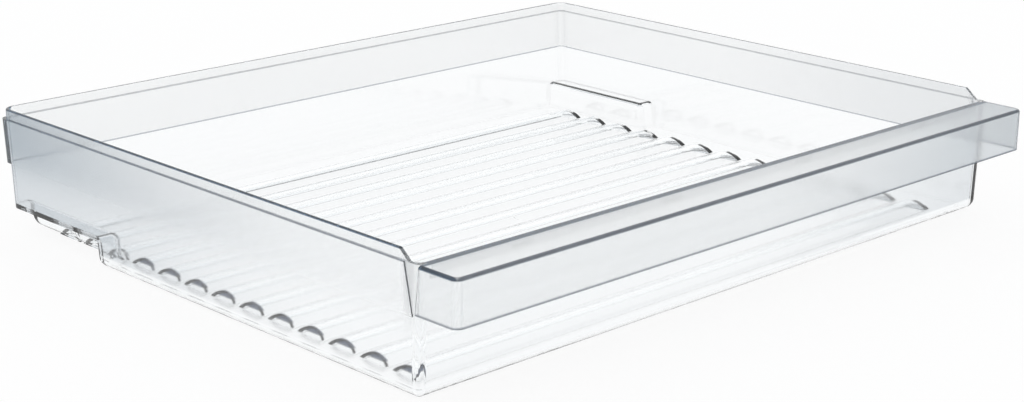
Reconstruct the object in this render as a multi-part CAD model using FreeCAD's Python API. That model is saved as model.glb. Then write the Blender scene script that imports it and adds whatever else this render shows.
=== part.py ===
import FreeCAD, Part
import math
import os

# Freezer drawer: a shallow clear tray with a clear pull bar clipped over its front wall.
# Millimetres. X to the right, Y to the rear, Z up. The drawer stands on its flat underside
# at z = 0, and X = 0, Y = 0 is the middle of its outer box.

# Overall sizes
overall_width = 470.0
overall_depth = 396.0
rim_height = 69.4
lip_height = 6.1

# Tray walls: the outer faces lean out from the bottom to the rim
wall = 2.4
floor_thickness = 2.2
rim_side_inset = 1.1
rim_rear_inset = 1.3
side_lean = 0.9
front_lean = 1.6
rear_lean = 4.0
bottom_edge_radius = 6.3
inner_floor_radius = 3.0
front_corner_radius = 3.0
front_corner_inner_radius = 3.4
rear_corner_radius = 7.0

# Thicker band round the sides and the rear, below the rim
band_bottom = 42.8
band_side_lean = 0.6
band_rear_lean = 1.5
band_corner_radius = 5.0
band_end_low = 4.4
band_end_high = 9.6

# Thin lip that stands on the rim along the sides and the rear
lip_side_inset = 0.9
lip_rear_inset = 0.9
lip_wall = 2.1
lip_top_radius = 0.9
lip_corner_radius = 7.5
lip_end_low = 6.6
lip_end_high = 14.2

# Notches in the two rear bottom corners, for the rails of the cabinet
notch_width = 14.2
notch_length = 93.0
notch_lean = 2.4
notch_height = 15.6
notch_radius = 3.0

# Ridges across the floor
ridge_count = 13
ridge_pitch = 25.0
ridge_width = 20.0
ridge_height = 4.4
ridge_left_gap = 16.0
ridge_right_gap = 28.5
ridge_end_slope = 2.0
ridge_end_radius = 3.0
ridge_end_inner_radius = 0.8
ridge_shoulder_gap = 0.3
ridge_first_from_front = 27.4

# Pull bar
bar_side_inset = 0.8
bar_reach = 26.5
bar_wall = 2.2
bar_height = 25.5
bar_corner_radius = 4.7
bar_edge_radius = 2.0
bar_rear_edge_radius = 1.2

# Clip joint between the bar and the front wall
clip_clearance = 0.15
clip_leg = 1.4
clip_leg_depth = 6.0
clip_recess = 0.9
saddle_end_gap = 5.4
clip_end_gap = 4.5
snap_count = 4
snap_pitch = 110.0
snap_length = 14.0
snap_radius = 0.9
snap_depth = 0.4
snap_drop = 3.4
bar_end_wrap = 2.6

# Places that follow from the sizes above
half_width = overall_width / 2.0
rim_half_width = half_width - rim_side_inset
bottom_half_width = rim_half_width - side_lean
band_bottom_half_width = half_width - band_side_lean
lip_half_width = half_width - lip_side_inset
notch_inner_half_width = bottom_half_width - notch_width
bar_half_width = half_width - bar_side_inset
saddle_half_length = rim_half_width - saddle_end_gap
clip_half_length = saddle_half_length - clip_end_gap
rear_y = overall_depth / 2.0
rim_rear_y = rear_y - rim_rear_inset
rim_front_y = -rear_y + bar_reach
floor_front_y = rim_front_y + front_lean
floor_rear_y = rim_rear_y - rear_lean
top_z = rim_height + lip_height
ridge_left_x = -bottom_half_width + ridge_left_gap
ridge_right_x = bottom_half_width - ridge_right_gap
saddle_z = rim_height - bar_wall - clip_clearance
inner_front_y = rim_front_y + wall
leg_front_y = inner_front_y - clip_recess + clip_clearance
leg_back_y = leg_front_y + clip_leg
bead_y = leg_front_y + snap_radius - snap_depth
bead_z = saddle_z - snap_drop

# Working lengths: how far a cutting block runs past the solid, how far a ridge's foot reaches into
# the floor, and how closely an edge must lie to a height to count as level
beyond = 5.0
ridge_foot = 1.0
level = 0.01


def at(x, y, z):
    """A point in space."""
    return FreeCAD.Vector(x, y, z)


def box(x_low, x_high, y_low, y_high, z_low, z_high):
    """A block between two opposite corners."""
    return Part.makeBox(x_high - x_low, y_high - y_low, z_high - z_low, at(x_low, y_low, z_low))


def outline(half, front, rear, z, front_radius, rear_radius):
    """A closed level outline with rounded corners, wide 2 x half."""
    corners = (
        (half, front, front_radius, 270.0),
        (half, rear, rear_radius, 0.0),
        (-half, rear, rear_radius, 90.0),
        (-half, front, front_radius, 180.0),
    )
    arcs = []
    for x, y, radius, start in corners:
        centre_x = x - math.copysign(radius, x)
        centre_y = y + radius if y == front else y - radius
        points = []
        for step in (0.0, 45.0, 90.0):
            angle = math.radians(start + step)
            points.append(at(centre_x + radius * math.cos(angle), centre_y + radius * math.sin(angle), z))
        arcs.append(points)
    edges = []
    for index, points in enumerate(arcs):
        edges.append(Part.Arc(*points).toShape())
        edges.append(Part.makeLine(points[2], arcs[(index + 1) % 4][0]))
    return Part.Wire(edges)


def leaning_block(lower, upper):
    """A solid with flat leaning sides between two level outlines."""
    return Part.makeLoft([lower, upper], True, True)


def side_profile(points, x_low, x_high):
    """A solid with a straight-edged outline in Y and Z, as long as x_low to x_high."""
    corners = [at(x_low, y, z) for y, z in points]
    face = Part.Face(Part.makePolygon(corners + corners[:1]))
    return face.extrude(at(x_high - x_low, 0, 0))


def level_edges(solid, z):
    """The solid's edges that lie level at height z."""
    return [
        edge for edge in solid.Edges
        if abs(edge.BoundBox.ZMin - z) < level and abs(edge.BoundBox.ZMax - z) < level
    ]


def part_way(low, high, z):
    """The value at height z on a straight line from low, at the bottom, to high, at the rim."""
    return low + (high - low) * z / rim_height


def shell_outline(z, inset, front_radius):
    """The tray wall's outline at height z, moved in by inset."""
    return outline(
        part_way(bottom_half_width, rim_half_width, z) - inset,
        part_way(floor_front_y, rim_front_y, z) + inset,
        part_way(floor_rear_y, rim_rear_y, z) - inset,
        z,
        front_radius,
        rear_corner_radius - inset,
    )


def front_cut(low_z, high_z, end_low, end_high):
    """The slanted block that ends the band or the lip short of the front wall."""
    slope = (end_high - end_low) / (high_z - low_z)
    points = (
        (rim_front_y - beyond, low_z - beyond),
        (rim_front_y + end_low - slope * beyond, low_z - beyond),
        (rim_front_y + end_high + slope * beyond, high_z + beyond),
        (rim_front_y - beyond, high_z + beyond),
    )
    return side_profile(points, -overall_width, overall_width)


def tray_band():
    """The thicker band round the sides and the rear, as a full block."""
    band = leaning_block(
        outline(band_bottom_half_width, rim_front_y, rear_y - band_rear_lean, band_bottom,
                front_corner_radius, band_corner_radius),
        outline(half_width, rim_front_y, rear_y, rim_height, front_corner_radius, band_corner_radius),
    )
    return band.cut(front_cut(band_bottom, rim_height, band_end_low, band_end_high))


def tray_lip():
    """The thin lip on the rim, with its top edges rounded."""
    rings = []
    for inset, radius in ((0.0, lip_corner_radius), (lip_wall, lip_corner_radius - lip_wall)):
        rings.append(leaning_block(*(
            outline(lip_half_width - inset, rim_front_y + inset, rear_y - lip_rear_inset - inset, z,
                    front_corner_inner_radius, radius)
            for z in (rim_height, top_z)
        )))
    lip = rings[0].cut(rings[1]).cut(front_cut(rim_height, top_z, lip_end_low, lip_end_high))
    return lip.makeFillet(lip_top_radius, level_edges(lip, top_z))


def notch_block(side, grow):
    """The block that a rear corner notch takes away, made larger all round by grow."""
    front_low = floor_rear_y - notch_length
    front_high = front_low + notch_lean
    ceiling = notch_height + grow
    points = (
        (front_low - grow, -beyond),
        (front_high - grow, ceiling),
        (rear_y + beyond, ceiling),
        (rear_y + beyond, -beyond),
    )
    inner_x = notch_inner_half_width - grow
    block = side_profile(points, inner_x, overall_width)
    rounded = []
    for edge in block.Edges:
        size = edge.BoundBox
        on_inner_face = size.XMax < inner_x + level
        on_top = size.ZMin > ceiling - level
        at_front = size.YMax < front_high + level
        if (on_inner_face and on_top) or (at_front and (on_inner_face or on_top)):
            rounded.append(edge)
    block = block.makeFillet(notch_radius + grow, rounded)
    if side < 0:
        block = block.mirror(at(0, 0, 0), at(1, 0, 0))
    return block


def tray_outside():
    """The tray's full outer form below the rim, without its hollow."""
    body = leaning_block(
        shell_outline(0.0, 0.0, front_corner_radius),
        shell_outline(rim_height, 0.0, front_corner_radius),
    )
    for side in (-1, 1):
        body = body.cut(notch_block(side, 0.0))
    body = body.makeFillet(bottom_edge_radius, level_edges(body, 0.0))
    return body.fuse(tray_band())


def tray_hollow():
    """The space that is taken out of the tray, standing clear of the corner notches."""
    hollow = leaning_block(
        shell_outline(floor_thickness, wall, front_corner_inner_radius),
        shell_outline(rim_height + beyond, wall, front_corner_inner_radius),
    )
    for side in (-1, 1):
        hollow = hollow.cut(notch_block(side, wall))
    return hollow.makeFillet(inner_floor_radius, level_edges(hollow, floor_thickness))


def ridge_end(end_x, outward, y, base_z, crest_z, shoulder_radius):
    """The block beyond a ridge's leaning end, with the rounded shoulder taken off too."""
    lean = ridge_end_slope / ridge_height
    slope = math.atan2(1.0, lean)
    shoulder_z = crest_z + ridge_shoulder_gap
    corner_x = end_x - outward * lean * (shoulder_z - base_z)
    tangent = shoulder_radius * math.tan(slope / 2.0)
    middle = math.radians(90.0) + slope / 2.0
    y_low = y - ridge_width
    foot = at(end_x + outward * lean * ridge_foot * 2.0, y_low, base_z - ridge_foot * 2.0)
    arc_start = at(
        corner_x + outward * tangent * math.cos(slope),
        y_low,
        shoulder_z - tangent * math.sin(slope),
    )
    arc_middle = at(
        corner_x - outward * (tangent + shoulder_radius * math.cos(middle)),
        y_low,
        shoulder_z - shoulder_radius + shoulder_radius * math.sin(middle),
    )
    arc_end = at(corner_x - outward * tangent, y_low, shoulder_z)
    above = at(arc_end.x, y_low, shoulder_z + beyond)
    far_above = at(end_x + outward * beyond, y_low, shoulder_z + beyond)
    far_below = at(end_x + outward * beyond, y_low, foot.z)
    edges = [Part.makeLine(foot, arc_start), Part.Arc(arc_start, arc_middle, arc_end).toShape()]
    corners = (arc_end, above, far_above, far_below, foot)
    edges += [Part.makeLine(corners[index], corners[index + 1]) for index in range(4)]
    return Part.Face(Part.Wire(edges)).extrude(at(0, 2.0 * ridge_width, 0))


def ridge_form(y, base_z, radius, centre_z, x_low, x_high, shoulder_radius):
    """A long low ridge with an arched section, leaning ends and rounded shoulders."""
    foot_z = base_z - ridge_foot
    half = math.sqrt(radius ** 2 - (foot_z - centre_z) ** 2)
    crest_z = centre_z + radius
    arch = Part.Arc(at(x_low - beyond, y - half, foot_z), at(x_low - beyond, y, crest_z),
                    at(x_low - beyond, y + half, foot_z))
    chord = Part.makeLine(at(x_low - beyond, y + half, foot_z), at(x_low - beyond, y - half, foot_z))
    solid = Part.Face(Part.Wire([arch.toShape(), chord])).extrude(at(x_high - x_low + 2.0 * beyond, 0, 0))
    for end_x, outward in ((x_low, -1), (x_high, 1)):
        solid = solid.cut(ridge_end(end_x, outward, y, base_z, crest_z, shoulder_radius))
    return solid


def add_ridges(tray):
    """Raise the ridges: the same wall thickness above and below."""
    radius = (ridge_width ** 2 / 4.0 + ridge_height ** 2) / (2.0 * ridge_height)
    centre_z = floor_thickness + ridge_height - radius
    for index in range(ridge_count):
        y = rim_front_y + ridge_first_from_front + index * ridge_pitch
        upper = ridge_form(y, floor_thickness, radius, centre_z, ridge_left_x, ridge_right_x,
                           ridge_end_radius)
        lower = ridge_form(y, 0.0, radius - floor_thickness, centre_z, ridge_left_x + floor_thickness,
                           ridge_right_x - floor_thickness, ridge_end_inner_radius)
        tray = tray.fuse(upper).cut(lower)
    return tray


def snap_places():
    """The middles of the snap beads along X."""
    return [(index - (snap_count - 1) / 2.0) * snap_pitch for index in range(snap_count)]


def snap_bead(x, y, z, radius, length):
    """A short round bead along X."""
    return Part.makeCylinder(radius, length, at(x - length / 2.0, y, z), at(1, 0, 0))


def make_storage_tray():
    """The clear tray, one moulding."""
    tray = tray_outside().cut(tray_hollow()).fuse(tray_lip())
    tray = add_ridges(tray)
    saddle = box(-saddle_half_length, saddle_half_length, rim_front_y - beyond, inner_front_y + beyond,
                 saddle_z, top_z)
    recess_half = clip_half_length + clip_clearance
    recess = box(-recess_half, recess_half, inner_front_y - clip_recess, inner_front_y + beyond,
                 saddle_z - clip_leg_depth - clip_clearance, top_z)
    tray = tray.cut(saddle).cut(recess)
    seat_radius = snap_radius + clip_clearance
    seat_length = snap_length + 2.0 * clip_clearance
    for x in snap_places():
        tray = tray.cut(snap_bead(x, bead_y, bead_z, seat_radius, seat_length))
    return tray.removeSplitter()


def round_front_corners(block, front_y, radius):
    """Round the two upright front edges of a block."""
    upright = [edge for edge in block.Edges
               if edge.BoundBox.ZLength > bar_height / 2.0 and edge.BoundBox.YMax < front_y + level]
    return block.makeFillet(radius, upright)


def make_pull_bar():
    """The clear pull bar: top, front and two ends, open below, with a clip leg along its rear edge."""
    front_y = -rear_y
    bottom_z = rim_height - bar_height
    back_y = rim_front_y + bar_end_wrap
    outer = box(-bar_half_width, bar_half_width, front_y, back_y, bottom_z, rim_height)
    outer = round_front_corners(outer, front_y, bar_corner_radius)
    top_edges = [edge for edge in level_edges(outer, rim_height) if edge.BoundBox.YMin < back_y - level]
    outer = outer.makeFillet(bar_edge_radius, top_edges)
    inner = box(-bar_half_width + bar_wall, bar_half_width - bar_wall, front_y + bar_wall, back_y + beyond,
                bottom_z - beyond, rim_height - bar_wall)
    inner = round_front_corners(inner, front_y + bar_wall, bar_corner_radius - bar_wall)
    bar = outer.cut(inner)

    behind_ends = side_profile(
        (
            (back_y, bottom_z - beyond),
            (back_y + beyond, bottom_z - beyond),
            (back_y + beyond, rim_height + beyond),
            (rim_front_y, rim_height + beyond),
            (rim_front_y, rim_height),
            (back_y, bottom_z),
        ),
        -overall_width,
        overall_width,
    )
    tray_form = leaning_block(
        shell_outline(0.0, -clip_clearance, front_corner_radius),
        shell_outline(rim_height, -clip_clearance, front_corner_radius),
    )
    bar = bar.cut(behind_ends).cut(tray_form)

    half_saddle = saddle_half_length - clip_clearance
    bridge = box(-half_saddle, half_saddle, rim_front_y - bar_wall, leg_back_y,
                 rim_height - bar_wall, rim_height)
    rear_edges = [edge for edge in level_edges(bridge, rim_height) if edge.BoundBox.YMin > leg_back_y - level]
    bridge = bridge.makeFillet(bar_rear_edge_radius, rear_edges)
    leg = box(-clip_half_length, clip_half_length, leg_front_y, leg_back_y, saddle_z - clip_leg_depth,
              rim_height - bar_wall)
    bar = bar.fuse(bridge).fuse(leg)
    for x in snap_places():
        bar = bar.fuse(snap_bead(x, bead_y, bead_z, snap_radius, snap_length))
    return bar.removeSplitter()


if __name__ == "__main__":
    os.makedirs("parts", exist_ok=True)
    make_storage_tray().exportStep("parts/storage_tray.step")
    make_pull_bar().exportStep("parts/pull_bar.step")
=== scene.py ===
import math

import bpy
from mathutils import Matrix, Vector

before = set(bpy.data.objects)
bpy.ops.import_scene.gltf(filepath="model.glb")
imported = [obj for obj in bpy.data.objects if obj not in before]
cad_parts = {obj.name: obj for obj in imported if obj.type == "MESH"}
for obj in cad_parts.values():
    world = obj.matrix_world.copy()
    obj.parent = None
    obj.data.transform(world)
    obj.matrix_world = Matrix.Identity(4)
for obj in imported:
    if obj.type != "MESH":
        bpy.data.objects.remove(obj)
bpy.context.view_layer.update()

scene = bpy.context.scene
scene.view_settings.view_transform = "Standard"

# Bounces of light: one clear wall stands behind another, so many are needed
clear_bounces = 20
glossy_bounces = 8
scene.cycles.max_bounces = clear_bounces
scene.cycles.transmission_bounces = clear_bounces
scene.cycles.glossy_bounces = glossy_bounces

# Camera: the viewing angle of the photograph
camera_place = Vector((-0.84663, -0.86213, 0.38275))
camera_azimuth = math.radians(-44.27)
camera_down = math.radians(16.96)
camera_roll = math.radians(-0.54)
camera_lens_mm = 73.29
sensor_mm = 36.0
nearest_seen = 0.05
farthest_seen = 50.0

# Studio: white near the horizon and greyer overhead
studio_strength = 1.05
horizon_white = (1.0, 1.0, 1.0, 1.0)
overhead_grey = (0.80, 0.83, 0.86, 1.0)
grey_from = 0.60
grey_to = 0.95
plain_white = (1.0, 1.0, 1.0, 1.0)
floor_half_width = 6.0
floor_drop = 0.0002
floor_colour = (0.97, 0.97, 0.97, 1.0)
floor_glow = 0.9

# Plastic clear face on, and painted shade where it is seen at a slant, along its edges and on the ridges'
# shoulders
plastic_ior = 1.55
clear_colour = (0.985, 0.995, 1.0, 1.0)
slant_shade_colour = (0.20, 0.26, 0.32, 1.0)
bar_shade_colour = (0.42, 0.49, 0.55, 1.0)
edge_shade_colour = (0.02, 0.05, 0.10, 1.0)
shoulder_shade_colour = (0.01, 0.015, 0.03, 1.0)
slant_turn = (0.40, 0.54)

# Flow marks and scratches in the plastic's skin
flow_detail = 3.0
scratch_detail = 1.0
scratch_crests = (0.66, 0.72)
skin_relief = 0.0001

# From here on, a pair of places is where a zone's soft border starts and ends, in metres


def set_camera():
    """Look along the azimuth and down angle, turned a little about the line of sight."""
    forward = Vector((
        -math.sin(camera_azimuth) * math.cos(camera_down),
        math.cos(camera_azimuth) * math.cos(camera_down),
        -math.sin(camera_down),
    ))
    right = forward.cross(Vector((0, 0, 1))).normalized()
    down = forward.cross(right)
    turned_right = right * math.cos(camera_roll) + down * math.sin(camera_roll)
    turned_down = -right * math.sin(camera_roll) + down * math.cos(camera_roll)
    data = bpy.data.cameras.new("camera")
    data.lens = camera_lens_mm
    data.sensor_width = sensor_mm
    data.clip_start = nearest_seen
    data.clip_end = farthest_seen
    camera = bpy.data.objects.new("camera", data)
    axes = Matrix((turned_right, -turned_down, -forward)).transposed().to_4x4()
    camera.matrix_world = Matrix.Translation(camera_place) @ axes
    scene.collection.objects.link(camera)
    scene.camera = camera


def add_node(tree, kind, values=None, **settings):
    """A new node with its settings and the plain values of its inputs."""
    node = tree.nodes.new(kind)
    for name, value in settings.items():
        setattr(node, name, value)
    for name, value in (values or {}).items():
        node.inputs[name].default_value = value
    return node


def combine(tree, operation, first, second):
    """One number out of two, each a socket or a plain number."""
    node = add_node(tree, "ShaderNodeMath", operation=operation)
    for socket, value in zip(node.inputs, (first, second)):
        if isinstance(value, (int, float)):
            socket.default_value = value
        else:
            tree.links.new(value, socket)
    return node.outputs[0]


def chain(tree, operation, values):
    """One number out of several, taken one after another."""
    result = values[0]
    for value in values[1:]:
        result = combine(tree, operation, result, value)
    return result


def product(tree, *values):
    """All the numbers multiplied."""
    return chain(tree, "MULTIPLY", values)


def total(tree, *values):
    """All the numbers added."""
    return chain(tree, "ADD", values)


def greatest(tree, *values):
    """The greatest of the numbers."""
    return chain(tree, "MAXIMUM", values)


def rest_of(tree, share):
    """What is left of one when the share is taken off."""
    return combine(tree, "SUBTRACT", 1.0, share)


def distance_from(tree, socket, middle):
    """How far the socket lies from a middle value, on either side."""
    return combine(tree, "ABSOLUTE", combine(tree, "SUBTRACT", socket, middle), 0.0)


def blend(tree, share, first, second):
    """The first number where share is 0 and the second where it is 1."""
    node = add_node(tree, "ShaderNodeMix", data_type="FLOAT")
    for index, socket in enumerate((share, first, second)):
        tree.links.new(socket, node.inputs[(0, 2, 3)[index]])
    return node.outputs[0]


def rise(tree, socket, border, start=0.0, end=1.0):
    """A number that goes smoothly from start to end while the socket crosses the border."""
    node = add_node(tree, "ShaderNodeMapRange", interpolation_type="SMOOTHSTEP", values={
        "From Min": border[0], "From Max": border[1], "To Min": start, "To Max": end,
    })
    tree.links.new(socket, node.inputs["Value"])
    return node.outputs["Result"]


def fall(tree, socket, border):
    """A number that goes smoothly from 1 to 0 while the socket crosses the border."""
    return rise(tree, socket, border, 1.0, 0.0)


def within(tree, socket, span, softness):
    """1 while the socket lies in the span, and 0 beyond, with soft borders."""
    low, high = span
    return product(
        tree,
        rise(tree, socket, (low - softness, low)),
        fall(tree, socket, (high, high + softness)),
    )


def set_world():
    """A white studio all round, greyer overhead, and plain white behind the object."""
    world = bpy.data.worlds.new("studio")
    world.use_nodes = True
    scene.world = world
    tree = world.node_tree
    tree.nodes.clear()
    links = tree.links
    coords = add_node(tree, "ShaderNodeTexCoord")
    split = add_node(tree, "ShaderNodeSeparateXYZ")
    ramp = add_node(tree, "ShaderNodeValToRGB")
    links.new(coords.outputs["Generated"], split.inputs[0])
    links.new(split.outputs["Z"], ramp.inputs[0])
    stops = ((grey_from, horizon_white), (grey_to, overhead_grey))
    for stop, (position, colour) in zip(ramp.color_ramp.elements, stops):
        stop.position = position
        stop.color = colour
    studio = add_node(tree, "ShaderNodeBackground", values={"Strength": studio_strength})
    links.new(ramp.outputs[0], studio.inputs["Color"])
    plain = add_node(tree, "ShaderNodeBackground", values={"Color": plain_white, "Strength": 1.0})
    path = add_node(tree, "ShaderNodeLightPath")
    mix = add_node(tree, "ShaderNodeMixShader")
    out = add_node(tree, "ShaderNodeOutputWorld")
    links.new(path.outputs["Is Camera Ray"], mix.inputs[0])
    links.new(studio.outputs[0], mix.inputs[1])
    links.new(plain.outputs[0], mix.inputs[2])
    links.new(mix.outputs[0], out.inputs[0])


def make_floor():
    """A wide pale floor that shows white behind the object and keeps its shadow."""
    mesh = bpy.data.meshes.new("floor")
    size = floor_half_width
    corners = [(-size, -size, 0), (size, -size, 0), (size, size, 0), (-size, size, 0)]
    mesh.from_pydata(corners, [], [(0, 1, 2, 3)])
    floor = bpy.data.objects.new("floor", mesh)
    scene.collection.objects.link(floor)
    material = bpy.data.materials.new("floor_white")
    material.use_nodes = True
    tree = material.node_tree
    shader = tree.nodes["Principled BSDF"]
    shader.inputs["Base Color"].default_value = floor_colour
    shader.inputs["Roughness"].default_value = 1.0
    shader.inputs["Specular IOR Level"].default_value = 0.0
    white = add_node(tree, "ShaderNodeEmission", values={"Color": plain_white, "Strength": 1.0})
    path = add_node(tree, "ShaderNodeLightPath").outputs
    seen = greatest(tree, path["Is Camera Ray"], path["Is Glossy Ray"], path["Is Transmission Ray"])
    mix = add_node(tree, "ShaderNodeMixShader")
    tree.links.new(product(tree, seen, floor_glow), mix.inputs[0])
    tree.links.new(shader.outputs[0], mix.inputs[1])
    tree.links.new(white.outputs[0], mix.inputs[2])
    tree.links.new(mix.outputs[0], tree.nodes["Material Output"].inputs["Surface"])
    mesh.materials.append(material)
    floor.location.z = -floor_drop


def start_plastic(name, depth_colour, density):
    """Clear plastic with a tint that grows with its thickness; returns the material and its shader."""
    material = bpy.data.materials.new(name)
    material.use_nodes = True
    tree = material.node_tree
    shader = tree.nodes["Principled BSDF"]
    shader.inputs["Transmission Weight"].default_value = 1.0
    shader.inputs["IOR"].default_value = plastic_ior
    absorb = add_node(tree, "ShaderNodeVolumeAbsorption", values={"Color": depth_colour, "Density": density})
    tree.links.new(absorb.outputs[0], tree.nodes["Material Output"].inputs["Volume"])
    return material, shader


def places(tree):
    """The place on the part: all of it, and its parts to the right, to the rear and up."""
    coords = add_node(tree, "ShaderNodeTexCoord").outputs["Object"]
    split = add_node(tree, "ShaderNodeSeparateXYZ")
    tree.links.new(coords, split.inputs[0])
    return coords, split.outputs["X"], split.outputs["Y"], split.outputs["Z"]


def facing(tree):
    """How far the surface turns away from the line of sight: 0 face on, 1 edge on."""
    return add_node(tree, "ShaderNodeLayerWeight", values={"Blend": 0.5}).outputs["Facing"]


def tint(tree, shader, layers):
    """Colour clear plastic with layers, each an amount from 0 to 1 and the colour it turns to."""
    colour = None
    for amount, layer_colour in layers:
        mix = add_node(tree, "ShaderNodeMix", data_type="RGBA")
        mix.inputs[6].default_value = clear_colour
        mix.inputs[7].default_value = layer_colour
        if colour is not None:
            tree.links.new(colour, mix.inputs[6])
        tree.links.new(amount, mix.inputs[0])
        colour = mix.outputs[2]
    tree.links.new(colour, shader.inputs["Base Color"])


def stretched_noise(tree, coords, along, detail):
    """A noise with its own fineness along each axis."""
    stretch = add_node(tree, "ShaderNodeMapping", values={"Scale": along})
    noise = add_node(tree, "ShaderNodeTexNoise", values={"Scale": 1.0, "Detail": detail})
    tree.links.new(coords, stretch.inputs["Vector"])
    tree.links.new(stretch.outputs[0], noise.inputs["Vector"])
    return noise.outputs["Fac"]


def moulding_flow(tree, coords, along):
    """A slow unevenness left by the plastic's flow in the mould, longer along one axis."""
    return stretched_noise(tree, coords, along, flow_detail)


def fine_scratches(tree, coords, along):
    """Thin faint scratches: the narrow crests of a long stretched noise."""
    return rise(tree, stretched_noise(tree, coords, along, scratch_detail), scratch_crests)


def add_bump(tree, shader, height):
    """Raise and lower the surface by up to the skin's relief with the height socket."""
    bump = add_node(tree, "ShaderNodeBump", values={"Strength": 1.0, "Distance": skin_relief})
    tree.links.new(height, bump.inputs["Height"])
    tree.links.new(bump.outputs[0], shader.inputs["Normal"])


# Rounded shoulders at the ends of the ridges, with painted shade on the left ones
shoulder_foot = (0.0036, 0.0044)
shoulder_crest = (0.0068, 0.0074)
shoulders_front = (-0.156, -0.154)
shoulders_rear = (0.098, 0.101)
left_shoulder = -0.2158
right_shoulder = 0.2033
shoulder_reach = (0.0020, 0.0024)


def ridge_shoulders(tree, across, back, height):
    """The rounded shoulders at the left and right ends of the ridges, where the plastic is thick; painted
    shade darkens the left ones.
    """
    row = product(
        tree,
        rise(tree, height, shoulder_foot),
        fall(tree, height, shoulder_crest),
        rise(tree, back, shoulders_front),
        fall(tree, back, shoulders_rear),
    )
    return [
        product(tree, row, fall(tree, distance_from(tree, across, middle), shoulder_reach))
        for middle in (left_shoulder, right_shoulder)
    ]


# Painted shade at the feet of the ridges' right ends
first_ridge = -0.1441
half_ridge_pitch = 0.0125
foot_reach = (0.0084, 0.0092)
last_ridge_rear = (0.168, 0.170)
foot_across = (0.2034, 0.2050)
foot_across_softness = 0.0002
foot_height = (0.0024, 0.0034)
foot_height_softness = 0.0001
foot_darkness = 0.9


def ridge_foot_shade(tree, across, back, height):
    """Thin lines of painted shade where the right ends of the ridges meet the floor."""
    from_first = combine(tree, "SUBTRACT", back, first_ridge)
    from_middle = combine(tree, "PINGPONG", from_first, half_ridge_pitch)
    return product(
        tree,
        fall(tree, from_middle, foot_reach),
        fall(tree, back, last_ridge_rear),
        within(tree, across, foot_across, foot_across_softness),
        within(tree, height, foot_height, foot_height_softness),
        foot_darkness,
    )


# Lines of painted shade round the rim
off_left_wall = (-0.2290, -0.2280)
lip_top = (0.0744, 0.0748)
line_softness = 0.0002
rim_step = (0.0691, 0.0695)
rim_step_front = (-0.1640, -0.1600)
rim_step_left_darkness = 0.75
rim_step_darkness = 0.32
band_foot_line = (0.0426, 0.0430)
right_outer_face = (0.2333, 0.2335)
rear_outer_face = (0.1949, 0.1951)
band_foot_darkness = 0.8
corner_lean = 0.0706
corner_diagonal = (0.4192, 0.4202)
corner_darkness = 0.9
corner_slant = (0.40, 0.65)


def rim_shade_lines(tree, across, back, height):
    """The dark lines of painted shade along the lip's top, the rim step, the band's foot and the rear left
    corner.
    """
    lip_line = product(tree, rise(tree, height, lip_top), fall(tree, across, off_left_wall))
    step_line = product(
        tree,
        within(tree, height, rim_step, line_softness),
        rise(tree, back, rim_step_front),
        rise(tree, across, off_left_wall, rim_step_left_darkness, rim_step_darkness),
    )
    outer_face = greatest(tree, rise(tree, across, right_outer_face), rise(tree, back, rear_outer_face))
    foot_line = product(
        tree,
        within(tree, height, band_foot_line, line_softness),
        outer_face,
        rise(tree, across, off_left_wall, 0.0, band_foot_darkness),
    )
    diagonal = combine(tree, "SUBTRACT", back, across)
    diagonal = combine(tree, "SUBTRACT", diagonal, product(tree, height, corner_lean))
    corner_line = product(
        tree,
        rise(tree, diagonal, corner_diagonal, 0.0, corner_darkness),
        rise(tree, facing(tree), corner_slant),
    )
    return greatest(tree, lip_line, step_line, foot_line, corner_line)


# Places kept free of the painted slant shade
rear_step_height = (0.0170, 0.0182)
rear_step_across = (0.2120, 0.2303)
rear_step_softness = 0.0003
rear_step_front = (0.0970, 0.0980)
right_corner_across = (0.2270, 0.2290)
right_corner_back = (-0.1640, -0.1620)


def kept_clear(tree, across, back, height):
    """The flat tops of the rear steps and the right front corner, which are kept free of the painted slant
    shade.
    """
    step_top = product(
        tree,
        within(tree, height, rear_step_height, rear_step_softness),
        within(tree, distance_from(tree, across, 0.0), rear_step_across, rear_step_softness),
        rise(tree, back, rear_step_front),
    )
    front_corner = product(
        tree,
        rise(tree, across, right_corner_across),
        fall(tree, back, right_corner_back),
    )
    return greatest(tree, step_top, front_corner)


# Round marks of the mould: the gate on the floor and a pin on the rear wall
gate_place = (-0.0026, -0.0007, 0.0049)
gate_radius = 0.0025
pin_place = (-0.0243, 0.1940, 0.0545)
pin_radius = 0.005
mark_core = 0.7


def round_mark(tree, coords, place, radius):
    """A small round mark such as a gate or an ejector pin leaves."""
    away = add_node(tree, "ShaderNodeVectorMath", operation="DISTANCE")
    away.inputs[1].default_value = place
    tree.links.new(coords, away.inputs[0])
    return fall(tree, away.outputs["Value"], (radius * mark_core, radius))


# Finish of the tray
tray_depth_colour = (0.72, 0.80, 0.86, 1.0)
tray_depth_density = 1.0
above_ridges = (0.0068, 0.0085)
band_foot = (0.0424, 0.0434)
soft_band_foot = (0.026, 0.056)
left_wall_inside = (-0.205, -0.200)
behind_front_wall = (-0.1688, -0.1678)
band_end_back = (-0.163, -0.158)
# Painted shade on the right band, darker towards the front
right_band_across = (0.220, 0.228)
right_band_back = (-0.17, 0.06)
right_band_darkness = 0.14
wall_slant = 0.7
band_slant = 0.3
band_end_clear = 0.5
floor_roughness = 0.02
band_roughness = 0.06
wall_roughness = 0.04
ridge_end_roughness = 0.15
band_end_roughness = 0.25
tray_flow_roughness = 0.015
tray_scratch_roughness = 0.012
band_haze = 0.08
tray_flow_along = (9.0, 4.0, 30.0)
tray_scratch_along = (260.0, 9.0, 260.0)
flow_relief = 0.6
mark_relief = 0.8


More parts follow.
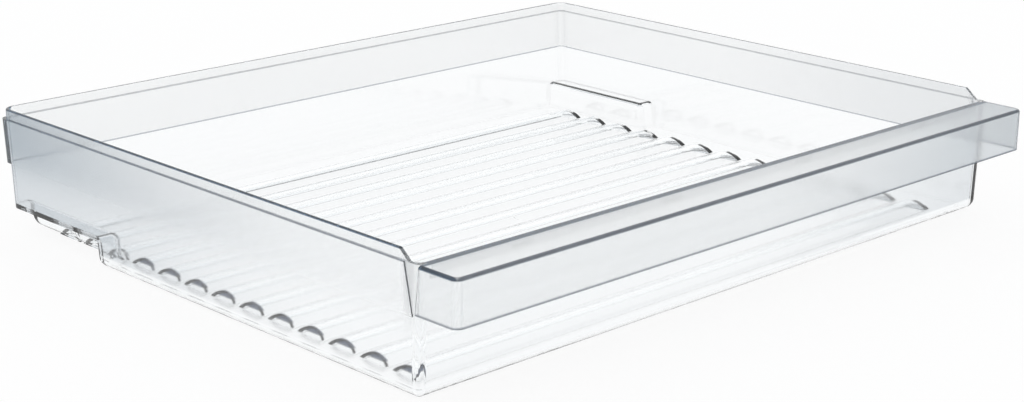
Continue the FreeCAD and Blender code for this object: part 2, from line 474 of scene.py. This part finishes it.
def tray_plastic():
    """The clear tray: polished floor, softer walls and a faintly satin band below the rim."""
    material, shader = start_plastic("clear_plastic", tray_depth_colour, tray_depth_density)
    tree = material.node_tree
    coords, across, back, height = places(tree)
    wall_zone = rise(tree, height, above_ridges)
    band_zone = blend(
        tree,
        fall(tree, across, left_wall_inside),
        rise(tree, height, band_foot),
        rise(tree, height, soft_band_foot),
    )
    band_zone = product(tree, band_zone, rise(tree, back, behind_front_wall))
    band_end = product(tree, band_zone, fall(tree, back, band_end_back))

    # Painted shade at a slant: strong on the walls, weaker on the band, left off where kept clear
    share = total(tree, product(tree, wall_zone, wall_slant), product(tree, band_zone, band_slant))
    clear_share = greatest(
        tree,
        kept_clear(tree, across, back, height),
        product(tree, band_end, band_end_clear),
    )
    slant = product(tree, rise(tree, facing(tree), slant_turn), share, rest_of(tree, clear_share))
    # Painted shade: the right band darker towards the front
    right_band_shade = product(
        tree,
        rise(tree, across, right_band_across),
        band_zone,
        rise(tree, back, right_band_back, right_band_darkness, 0.0),
    )
    left_ends, right_ends = ridge_shoulders(tree, across, back, height)
    # Painted shade in three layers: at a slant and on the right band, on the ridges' left shoulders and
    # right feet, and along the rim's lines
    tint(tree, shader, (
        (greatest(tree, slant, right_band_shade), slant_shade_colour),
        (greatest(tree, left_ends, ridge_foot_shade(tree, across, back, height)), shoulder_shade_colour),
        (rim_shade_lines(tree, across, back, height), edge_shade_colour),
    ))

    flow = moulding_flow(tree, coords, tray_flow_along)
    scratches = fine_scratches(tree, coords, tray_scratch_along)
    rough = total(
        tree,
        product(tree, band_zone, band_roughness),
        floor_roughness,
        product(tree, wall_zone, wall_roughness),
        product(tree, total(tree, left_ends, right_ends), ridge_end_roughness),
        product(tree, band_end, band_end_roughness),
        product(tree, flow, tray_flow_roughness),
        product(tree, scratches, tray_scratch_roughness),
    )
    tree.links.new(rough, shader.inputs["Roughness"])
    clearness = rest_of(tree, product(tree, band_zone, band_haze))
    tree.links.new(clearness, shader.inputs["Transmission Weight"])

    marks = greatest(
        tree,
        round_mark(tree, coords, gate_place, gate_radius),
        round_mark(tree, coords, pin_place, pin_radius),
    )
    add_bump(tree, shader, total(tree, product(tree, flow, flow_relief), product(tree, marks, mark_relief)))
    return material


# Finish of the pull bar
bar_depth_colour = (0.55, 0.68, 0.78, 1.0)
bar_depth_density = 0.8
bar_top = (0.0672, 0.0680)
bar_front_line = (-0.1970, -0.1962)
bar_front_darkness = 0.85
bar_end_line = (0.2322, 0.2330)
bar_low_line = (0.0444, 0.0450)
bar_low_darkness = 0.7
bar_seam = (-0.1746, -0.1738)
bar_width_span = (-0.235, 0.20)
bar_left_slant = 0.5
bar_right_slant = 0.95
top_slant_turn = (0.72, 0.78)
bar_far_end = (0.09, 0.235)
bar_far_darkness = 0.45
bar_clearness = 0.82
bar_roughness = 0.09
bar_flow_roughness = 0.05
bar_scratch_roughness = 0.03
bar_flow_along = (3.0, 30.0, 30.0)
bar_scratch_along = (7.0, 300.0, 300.0)


def bar_plastic():
    """The pull bar: the same plastic with a blue-grey tint and a satin skin, with painted shade: darker at a
    slant and towards its right end, and dark painted lines along its top edges, seam and low edge.
    """
    material, shader = start_plastic("bar_plastic", bar_depth_colour, bar_depth_density)
    tree = material.node_tree
    coords, across, back, height = places(tree)
    near_top = rise(tree, height, bar_top)
    # Dark lines of painted shade along the top's front edge and ends, the rear seam and the low edge
    front_line = product(tree, fall(tree, back, bar_front_line), bar_front_darkness)
    end_line = rise(tree, distance_from(tree, across, 0.0), bar_end_line)
    top_line = product(tree, near_top, greatest(tree, front_line, end_line))
    seam = product(tree, near_top, rise(tree, back, bar_seam))
    low_line = rise(tree, height, bar_low_line, bar_low_darkness, 0.0)

    # Painted shade: darker at a slant, more so to the right, and the top darker towards its right end
    view = facing(tree)
    front_slant = product(
        tree,
        rise(tree, view, slant_turn),
        rest_of(tree, near_top),
        rise(tree, across, bar_width_span, bar_left_slant, bar_right_slant),
    )
    top_slant = product(tree, rise(tree, view, top_slant_turn), near_top)
    far_end_shade = product(tree, near_top, rise(tree, across, bar_far_end, 0.0, bar_far_darkness))
    tint(tree, shader, (
        (greatest(tree, total(tree, front_slant, top_slant), far_end_shade), bar_shade_colour),
        (greatest(tree, top_line, seam, low_line), edge_shade_colour),
    ))

    shader.inputs["Transmission Weight"].default_value = bar_clearness
    flow = moulding_flow(tree, coords, bar_flow_along)
    scratches = fine_scratches(tree, coords, bar_scratch_along)
    rough = total(
        tree,
        product(tree, flow, bar_flow_roughness),
        product(tree, scratches, bar_scratch_roughness),
        bar_roughness,
    )
    tree.links.new(rough, shader.inputs["Roughness"])
    add_bump(tree, shader, flow)
    return material


set_camera()
set_world()
make_floor()

for node, material in (("storage_tray", tray_plastic()), ("pull_bar", bar_plastic())):
    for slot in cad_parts[node].material_slots:
        slot.material = material
